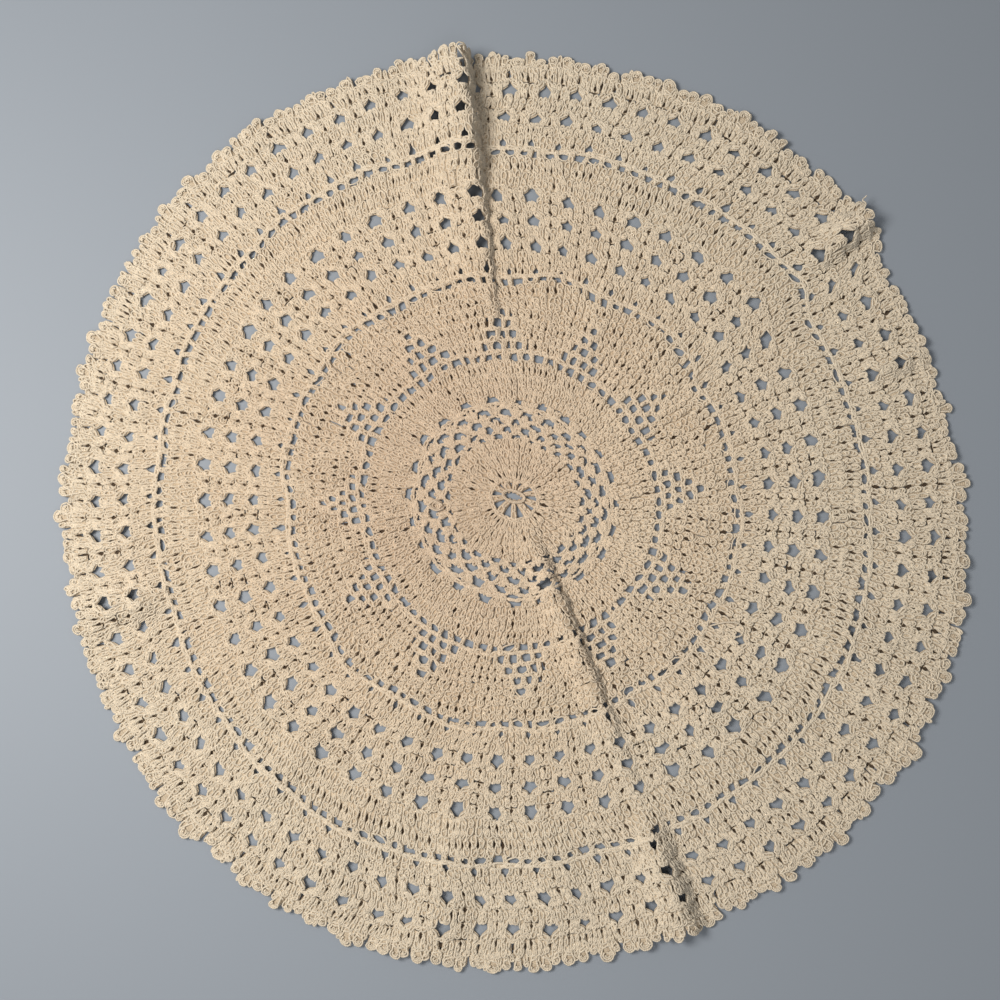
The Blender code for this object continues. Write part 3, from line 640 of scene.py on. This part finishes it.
k = 151.3 * math.pi / 77 / 6.6
fans(77, math.radians(2.90), 148.2, 154.3, np.array([-4.3, -1.6, 1.6, 4.3]) * k, (-0.38, -0.128, 0.128, 0.38), (0.0,) * 4, (0.0, 0.2, 0.2, 0.0),
     hb=np.array([1.3, 1.45, 1.45, 1.3]) * k, ht=1.66 * k, slit=0.35, gap=(1.02, 1.3), gap_at=0.30)
before = 154.3
dots(77, math.radians(2.90), before + 0.7, 1.2, 1.5)
for level in (162.0, 173.8):
    before = shell_row(77, 2.90, level, 5.9, before, (0.1, 2.0, -0.8))


def rim():
    n, pitch = 77, TAU / 77
    p = math.radians(2.90)
    mid = p + pitch * (np.arange(n) + 0.5)
    fans(n, p, 176.95, 182.2, np.array([-5.2, -3.1, -1.05, 1.05, 3.1, 5.2]), (-0.415, -0.255, -0.09, 0.09, 0.255, 0.415), (0.0, 0.1, 0.35, 0.35, 0.1, 0.0),
         (-0.7, 0.2, 0.5, 0.5, 0.2, -0.7), hb=np.array([1.0, 0.95, 0.85, 0.85, 0.95, 1.0]), ht=1.26, slit=0.25, centre=(0.3, 0.7), gap=(0.3, 0.8), gap_at=0.6, slim=0.12)
    out = rng.normal(0, 0.55, n)
    lean = rng.normal(0, 0.5, n)
    # three puffy lobes on each scallop, each of nested loops, and small stitches between them
    for at in (-0.325, 0.0, 0.325):
        c = mid + (at + rng.normal(0, 0.035, n)) * pitch
        size = (rng.uniform(1.55, 2.35, n) + 0.25 * (at == 0))[:, None]
        stretch = rng.uniform(0.9, 1.3, (n, 1))
        top = 188.7 - 1.6 * (at != 0) + out + rng.normal(0, 0.7, n)
        lie = (lean + rng.normal(0, 0.4, n) + at * 2.4)[:, None]
        rc = top[:, None] - size
        foot = np.full((n, 1), 181.4)
        height = rng.normal(0, 0.15, (n, 1))

        def ring(t, reach, w, style, thin, legs):
            y = YARN * thin * rng.uniform(0.92, 1.1, (n, 1))
            span = np.maximum(size - reach, 0.25)
            v, r = span * np.cos(t + 0.25 * lie) * stretch, rc + span * np.sin(t + 0.25 * lie)
            if legs:
                v = np.concatenate([-0.3 + 0 * size, v, 0.3 + 0 * size], axis=1)
                r = np.concatenate([foot, r, foot], axis=1)
            v = v + rng.normal(0, 0.13, v.shape) + lie * (r - foot) / 6
            w = w + height + rng.normal(0, 0.05, v.shape)
            if legs:
                w[:, 0] -= 0.6
                w[:, -1] -= 0.6
            sweep(r, c[:, None] + v / r, w, y, y, style)

        u = np.array([[-0.15, 0.3, 0.7, 1.0]])
        r = foot + (rc + 0.55 * size - foot) * u
        sweep(r, c[:, None] + lie * (r - foot) / 6 / r, 1.15 + height + 0 * u, size * np.array([[0.85, 1.0, 1.0, 0.6]]), size * np.array([[0.85, 1.0, 1.0, 0.6]]), "body", 0.3, 0.3)
        ring(np.radians(np.linspace(218, -38, 10))[None, :], YARN, 1.35, "round", 1.15, True)
        ring(np.radians(np.linspace(230, -50, 8))[None, :], YARN * 3.0, 1.6, "ridge", 1.05, False)
        ring(np.radians(np.linspace(200, -100, 6))[None, :], YARN * 4.8, 1.7, "ridge", 1.0, False)
        q = np.linspace(-1, 1, 4)[None, :]
        for low in (0.9, 2.2):
            r = foot + low + rng.normal(0, 0.2, (n, 1)) + 0.5 * q * rng.choice([-1, 1], (n, 1))
            sweep(r, c[:, None] + (lie * (r - foot) / 6 + q * size * 0.75) / r, np.array([[0.9, 1.5, 1.55, 0.9]]) + height, YARN, YARN, "ridge")
    for at in (-0.163, 0.163, 0.5):
        c = mid + (at + rng.normal(0, 0.012, n)) * pitch
        top = 186.8 + out * 0.7 + rng.normal(0, 0.7, n) - (2.8 if at == 0.5 else 0)
        petals(np.full(n, 181.9) - 0.5 * (at == 0.5), c, top, c, hb=0.95, ht=rng.uniform(1.0, 1.45, n), edge_l=0.3, edge_r=0.3, tip=1.0, curl=0)


rim()


def loose_thread(points, w, thin=1.0):
    """One thread end that lies on the cloth, through places x, y in mm from the rosette."""
    q = np.array(points, float)
    t, fine = np.arange(len(q)), np.linspace(0, len(q) - 1, 5 * (len(q) - 1) + 1)
    x, y = np.interp(fine, t, q[:, 0]), np.interp(fine, t, q[:, 1])
    for _ in range(3):                 # rounds off its corners
        x[1:-1], y[1:-1] = (x[:-2] + 2 * x[1:-1] + x[2:]) / 4, (y[:-2] + 2 * y[1:-1] + y[2:]) / 4
    w = np.interp(fine, t, w)
    strands(np.hypot(x, y), np.unwrap(np.arctan2(y, x)), w, thin=thin)


# a snarl beside the mesh, a mended place on the right and two thread ends
for k in range(4):
    a = rng.uniform(0, TAU)
    around = [(-31.8 + (1.5 + 0.45 * k) * math.cos(a + t) * rng.uniform(0.8, 1.15), -4.1 + (1.2 + 0.35 * k) * math.sin(a + t) * rng.uniform(0.8, 1.15)) for t in np.linspace(0, 5.6, 8)]
    loose_thread(around, [1.2] + [2.0 + 0.25 * k] * 6 + [1.2], thin=1.1)
loose_thread(((101.2, -46.0), (103.4, -43.6), (101.8, -42.2), (104.0, -40.8)), (1.1, 2.1, 2.2, 1.1), thin=1.1)
loose_thread(((80.2, -50.5), (86.0, -48.9), (91.0, -49.3), (93.4, -52.0), (91.6, -54.6), (87.5, -55.2)), (1.1, 1.9, 2.0, 2.0, 1.9, 1.1))
loose_thread(((149.0, 111.5), (151.0, 113.6), (150.6, 116.4), (152.6, 118.2)), (1.1, 2.2, 2.4, 1.8))


# ---- meshes --------------------------------------------------------------------------------------
def to_object(name, heap):
    start, verts, faces, uvs = 0, [], [], []
    for v, f, uv in heap:
        verts.append(v)
        faces.append(f + start)
        uvs.append(uv)
        start += len(v)
    verts, faces, uvs = np.concatenate(verts), np.concatenate(faces), np.concatenate(uvs)
    mesh = bpy.data.meshes.new(name)
    mesh.vertices.add(len(verts))
    mesh.vertices.foreach_set("co", verts.astype(np.float32).ravel())
    mesh.loops.add(faces.size)
    mesh.loops.foreach_set("vertex_index", faces.astype(np.int32).ravel())
    mesh.polygons.add(len(faces))
    mesh.polygons.foreach_set("loop_start", np.arange(0, faces.size, 4, dtype=np.int32))
    mesh.polygons.foreach_set("loop_total", np.full(len(faces), 4, dtype=np.int32))
    mesh.update(calc_edges=True)
    mesh.polygons.foreach_set("use_smooth", np.ones(len(faces), bool))
    layer = mesh.uv_layers.new(name="along")
    layer.data.foreach_set("uv", uvs.astype(np.float32).ravel())
    obj = bpy.data.objects.new(name, mesh)
    bpy.context.scene.collection.objects.link(obj)
    print(name, "triangles", 2 * len(faces))
    return obj


backs = to_object("crochet_ground", heaps[BACK])
yarns = [to_object(f"crochet_thread_{i + 1}", heaps[i]) for i in range(SECTORS)]
under = to_object("crochet_pit_shadows", heaps[PIT_SHADOW_PIECE])
print("stitches", stitches)


# ---- materials -------------------------------------------------------------------------------------
def node(tree, kind, x, y, **props):
    n = tree.nodes.new(kind)
    n.location = (x, y)
    for k, v in props.items():
        setattr(n, k, v)
    return n


def cotton(name, shade, bump):
    m = bpy.data.materials.new(name)
    m.use_nodes = True
    t = m.node_tree
    bsdf = t.nodes["Principled BSDF"]
    bsdf.inputs["Roughness"].default_value = 0.88
    bsdf.inputs["Specular IOR Level"].default_value = 0.25
    bsdf.inputs["Sheen Weight"].default_value = 0.12
    bsdf.inputs["Sheen Roughness"].default_value = 0.6
    where = node(t, "ShaderNodeTexCoord", -1500, 0)
    # cream at the rim, warmer and darker towards the centre, a little left of it
    shift = node(t, "ShaderNodeVectorMath", -1300, 200, operation="SUBTRACT")
    shift.inputs[1].default_value = (-0.030, 0.012, 0)
    t.links.new(where.outputs["Object"], shift.inputs[0])
    far = node(t, "ShaderNodeVectorMath", -1120, 200, operation="LENGTH")
    t.links.new(shift.outputs[0], far.inputs[0])
    cloud = node(t, "ShaderNodeTexNoise", -1300, -20)
    cloud.inputs["Scale"].default_value = 26
    cloud.inputs["Detail"].default_value = 4
    t.links.new(where.outputs["Object"], cloud.inputs["Vector"])
    blend = node(t, "ShaderNodeMath", -940, 120, operation="MULTIPLY_ADD")
    blend.inputs[1].default_value = 0.09
    t.links.new(cloud.outputs["Fac"], blend.inputs[0])
    t.links.new(far.outputs["Value"], blend.inputs[2])
    ramp = node(t, "ShaderNodeValToRGB", -760, 160)
    e = ramp.color_ramp.elements
    e[0].position, e[0].color = 0.07, (*shade["warm"], 1)
    e[1].position, e[1].color = 0.205, (*shade["cream"], 1)
    mid = ramp.color_ramp.elements.new(0.135)
    mid.color = (*shade["mid"], 1)
    t.links.new(blend.outputs[0], ramp.inputs["Fac"])
    # fibres: fine speckle of lighter and darker cotton
    speck = node(t, "ShaderNodeTexNoise", -1120, -260)
    speck.inputs["Scale"].default_value = 900
    speck.inputs["Detail"].default_value = 3
    speck.inputs["Roughness"].default_value = 0.7
    t.links.new(where.outputs["Object"], speck.inputs["Vector"])
    spread = node(t, "ShaderNodeMapRange", -940, -260)
    spread.inputs["From Min"].default_value = 0.3
    spread.inputs["From Max"].default_value = 0.7
    spread.inputs["To Min"].default_value = 0.80
    spread.inputs["To Max"].default_value = 1.12
    t.links.new(speck.outputs["Fac"], spread.inputs["Value"])
    # the plies wind round the thread: a bump, and a colour darker in the grooves between them and lighter on their
    # crests, painted shade and highlight
    uv = node(t, "ShaderNodeUVMap", -1500, -520, uv_map="along")
    split = node(t, "ShaderNodeSeparateXYZ", -1320, -520)
    t.links.new(uv.outputs["UV"], split.inputs[0])
    turn = node(t, "ShaderNodeMath", -1140, -520, operation="MULTIPLY_ADD")
    turn.inputs[1].default_value = 7.5
    t.links.new(split.outputs["X"], turn.inputs[0])
    wind = node(t, "ShaderNodeMath", -1140, -680, operation="MULTIPLY")
    wind.inputs[1].default_value = 6.0
    t.links.new(split.outputs["Y"], wind.inputs[0])
    t.links.new(wind.outputs[0], turn.inputs[2])
    sine = node(t, "ShaderNodeMath", -960, -520, operation="SINE")
    t.links.new(turn.outputs[0], sine.inputs[0])
    ply_groove_shade = node(t, "ShaderNodeMapRange", -780, -520)
    ply_groove_shade.inputs["From Min"].default_value = -1
    ply_groove_shade.inputs["From Max"].default_value = 1
    ply_groove_shade.inputs["To Min"].default_value = 0.88
    ply_groove_shade.inputs["To Max"].default_value = 1.06
    t.links.new(sine.outputs[0], ply_groove_shade.inputs["Value"])
    tone = node(t, "ShaderNodeMath", -600, -300, operation="MULTIPLY")
    t.links.new(spread.outputs["Result"], tone.inputs[0])
    t.links.new(ply_groove_shade.outputs["Result"], tone.inputs[1])
    mix = node(t, "ShaderNodeVectorMath", -420, 60, operation="SCALE")
    t.links.new(ramp.outputs["Color"], mix.inputs[0])
    t.links.new(tone.outputs[0], mix.inputs["Scale"])
    t.links.new(mix.outputs[0], bsdf.inputs["Base Color"])
    height = node(t, "ShaderNodeMath", -600, -620, operation="MULTIPLY_ADD")
    height.inputs[1].default_value = 0.5
    t.links.new(sine.outputs[0], height.inputs[0])
    t.links.new(speck.outputs["Fac"], height.inputs[2])
    b = node(t, "ShaderNodeBump", -300, -420)
    b.inputs["Strength"].default_value = bump
    b.inputs["Distance"].default_value = 0.00012
    t.links.new(height.outputs[0], b.inputs["Height"])
    t.links.new(b.outputs["Normal"], bsdf.inputs["Normal"])
    return m


SHADE = {"warm": (0.72, 0.56, 0.40), "mid": (0.77, 0.625, 0.455), "cream": (0.78, 0.665, 0.505)}
# the stitches' bodies lie low between the strands and get a darker copy of the cotton colour: painted shade for the
# hollows between strands
BODY_PAINTED_SHADE = {k: tuple(c * s for c, s in zip(v, (0.80, 0.75, 0.69))) for k, v in SHADE.items()}
thread, body_shade_cotton = cotton("cotton_thread", SHADE, 0.6), cotton("cotton_body_painted_shade", BODY_PAINTED_SHADE, 0.9)
backs.data.materials.append(body_shade_cotton)
for y in yarns:
    y.data.materials.append(thread)
# near-black brown for the patches in the pits: painted shadow
PIT_PAINTED_SHADOW = {k: tuple(c * s for c, s in zip(v, (0.10, 0.075, 0.055))) for k, v in SHADE.items()}
under.data.materials.append(cotton("pit_painted_shadow", PIT_PAINTED_SHADOW, 0.9))

for piece in [backs, under, *yarns]:
    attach(piece, "root")
    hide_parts("doily")

# ---- stage -----------------------------------------------------------------------------------------
floor_mesh = bpy.data.meshes.new("floor")
s = 30.0
floor_mesh.from_pydata([(-s, -s, 0), (s, -s, 0), (s, s, 0), (-s, s, 0)], [], [(0, 1, 2, 3)])
floor = bpy.data.objects.new("floor", floor_mesh)
floor.location.z = -0.0004
bpy.context.scene.collection.objects.link(floor)
fm = bpy.data.materials.new("floor_plain")
fm.use_nodes = True
ft = fm.node_tree
fb = ft.nodes["Principled BSDF"]
fb.inputs["Roughness"].default_value = 0.6
fn = node(ft, "ShaderNodeTexNoise", -600, 0)
fn.inputs["Scale"].default_value = 3.0
fr = node(ft, "ShaderNodeValToRGB", -400, 0)
fr.color_ramp.elements[0].color = (0.27, 0.295, 0.325, 1)
fr.color_ramp.elements[1].color = (0.29, 0.315, 0.345, 1)
ft.links.new(fn.outputs["Fac"], fr.inputs["Fac"])
ft.links.new(fr.outputs["Color"], fb.inputs["Base Color"])
floor_mesh.materials.append(fm)


def area_light(name, at, aim, size, power, colour=(1, 1, 1)):
    data = bpy.data.lights.new(name, "AREA")
    data.shape, data.size, data.energy, data.color = "DISK", size, power, colour
    obj = bpy.data.objects.new(name, data)
    obj.location = at
    obj.rotation_euler = (Vector(aim) - Vector(at)).to_track_quat("-Z", "Y").to_euler()
    bpy.context.scene.collection.objects.link(obj)


area_light("key", (-0.45, 0.07, 0.62), (0, 0, 0), 0.34, 5.2, (1.0, 0.985, 0.965))
area_light("fill", (0.0, -0.55, 1.1), (0, 0, 0), 1.0, 2.6, (0.96, 0.98, 1.0))
world = bpy.data.worlds.new("studio")
bpy.context.scene.world = world
world.use_nodes = True
world.node_tree.nodes["Background"].inputs["Color"].default_value = (0.93, 0.96, 1.0, 1)
world.node_tree.nodes["Background"].inputs["Strength"].default_value = 0.24
bpy.context.scene.view_settings.view_transform = "Standard"

cam_data = bpy.data.cameras.new("camera")
cam_data.sensor_width = 36.0
cam_data.lens = 43.9
cam_data.clip_start, cam_data.clip_end = 0.01, 20
cam = bpy.data.objects.new("camera", cam_data)
tilt = math.radians(6)
target = Vector((ROSETTE[0] * 0.001 - 0.00615, ROSETTE[1] * 0.001 - 0.0010, 0))
back_axis = Vector((0, -math.sin(tilt), math.cos(tilt)))
up_axis = Vector((0, math.cos(tilt), math.sin(tilt)))
right_axis = Vector((1, 0, 0))
cam.matrix_world = Matrix((
    (right_axis.x, up_axis.x, back_axis.x, target.x + 0.5 * back_axis.x),
    (right_axis.y, up_axis.y, back_axis.y, target.y + 0.5 * back_axis.y),
    (right_axis.z, up_axis.z, back_axis.z, target.z + 0.5 * back_axis.z),
    (0, 0, 0, 1)))
bpy.context.scene.collection.objects.link(cam)
bpy.context.scene.camera = cam
